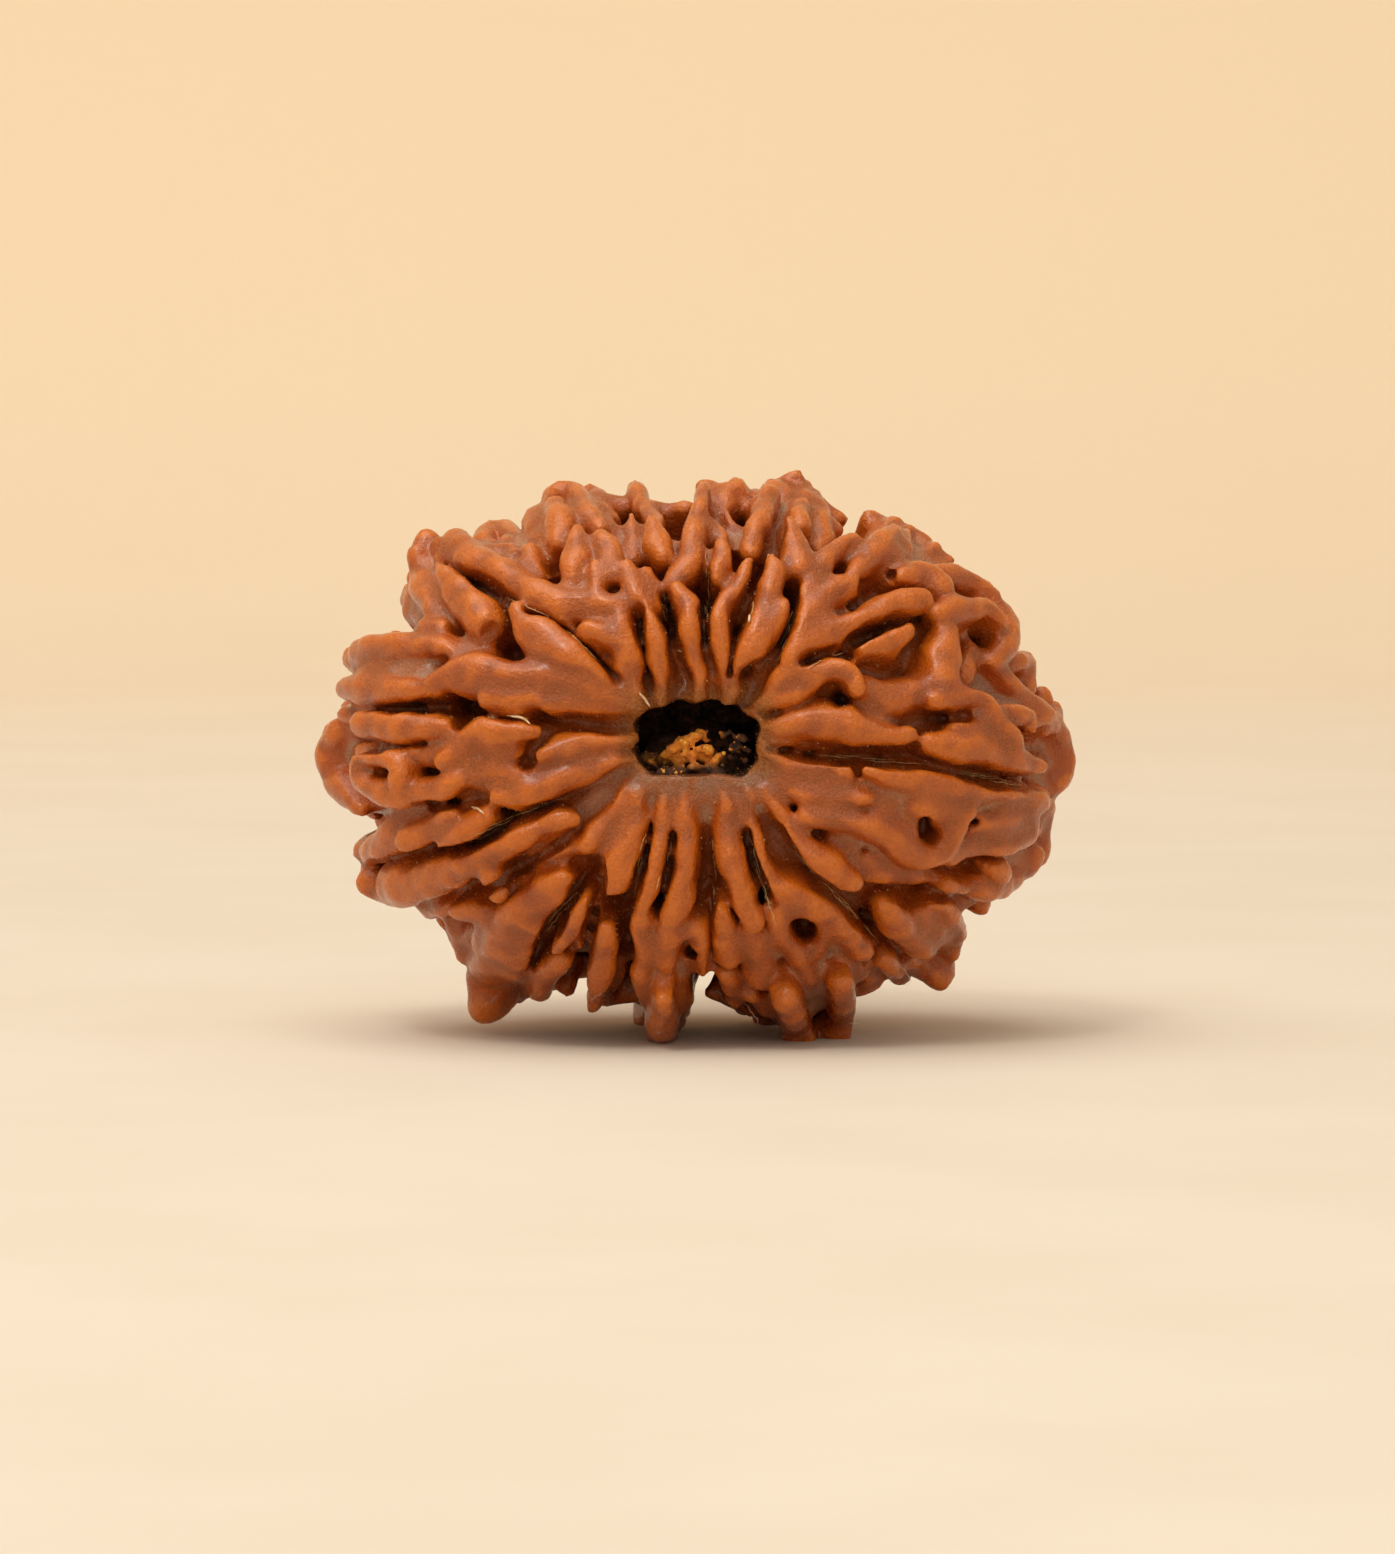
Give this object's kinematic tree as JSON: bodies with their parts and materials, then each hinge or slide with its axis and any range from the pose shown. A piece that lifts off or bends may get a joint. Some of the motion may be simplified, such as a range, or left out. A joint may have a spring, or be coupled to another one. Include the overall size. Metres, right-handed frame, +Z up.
{
  "type": "rudraksha bead",
  "caption": "Many-lobed woody seed bead with deep ridges and seams and a channel through it, standing on low tips.",
  "frame": {"origin": "under the middle of the bead's bounding box, on the ground that its lowest tips rest on", "axes": "+X to the right across the bead, its longest way; +Y along the channel, away from the pictured face; +Z up"},
  "size_m": [0.033, 0.0196, 0.0242],
  "materials": {
    "stone": "satin, hard woody skin",
    "pith": "dry and crumbly"
  },
  "bodies": {
    "root": {"bead": "stone", "pith": "pith"}
  },
  "joints": []
}
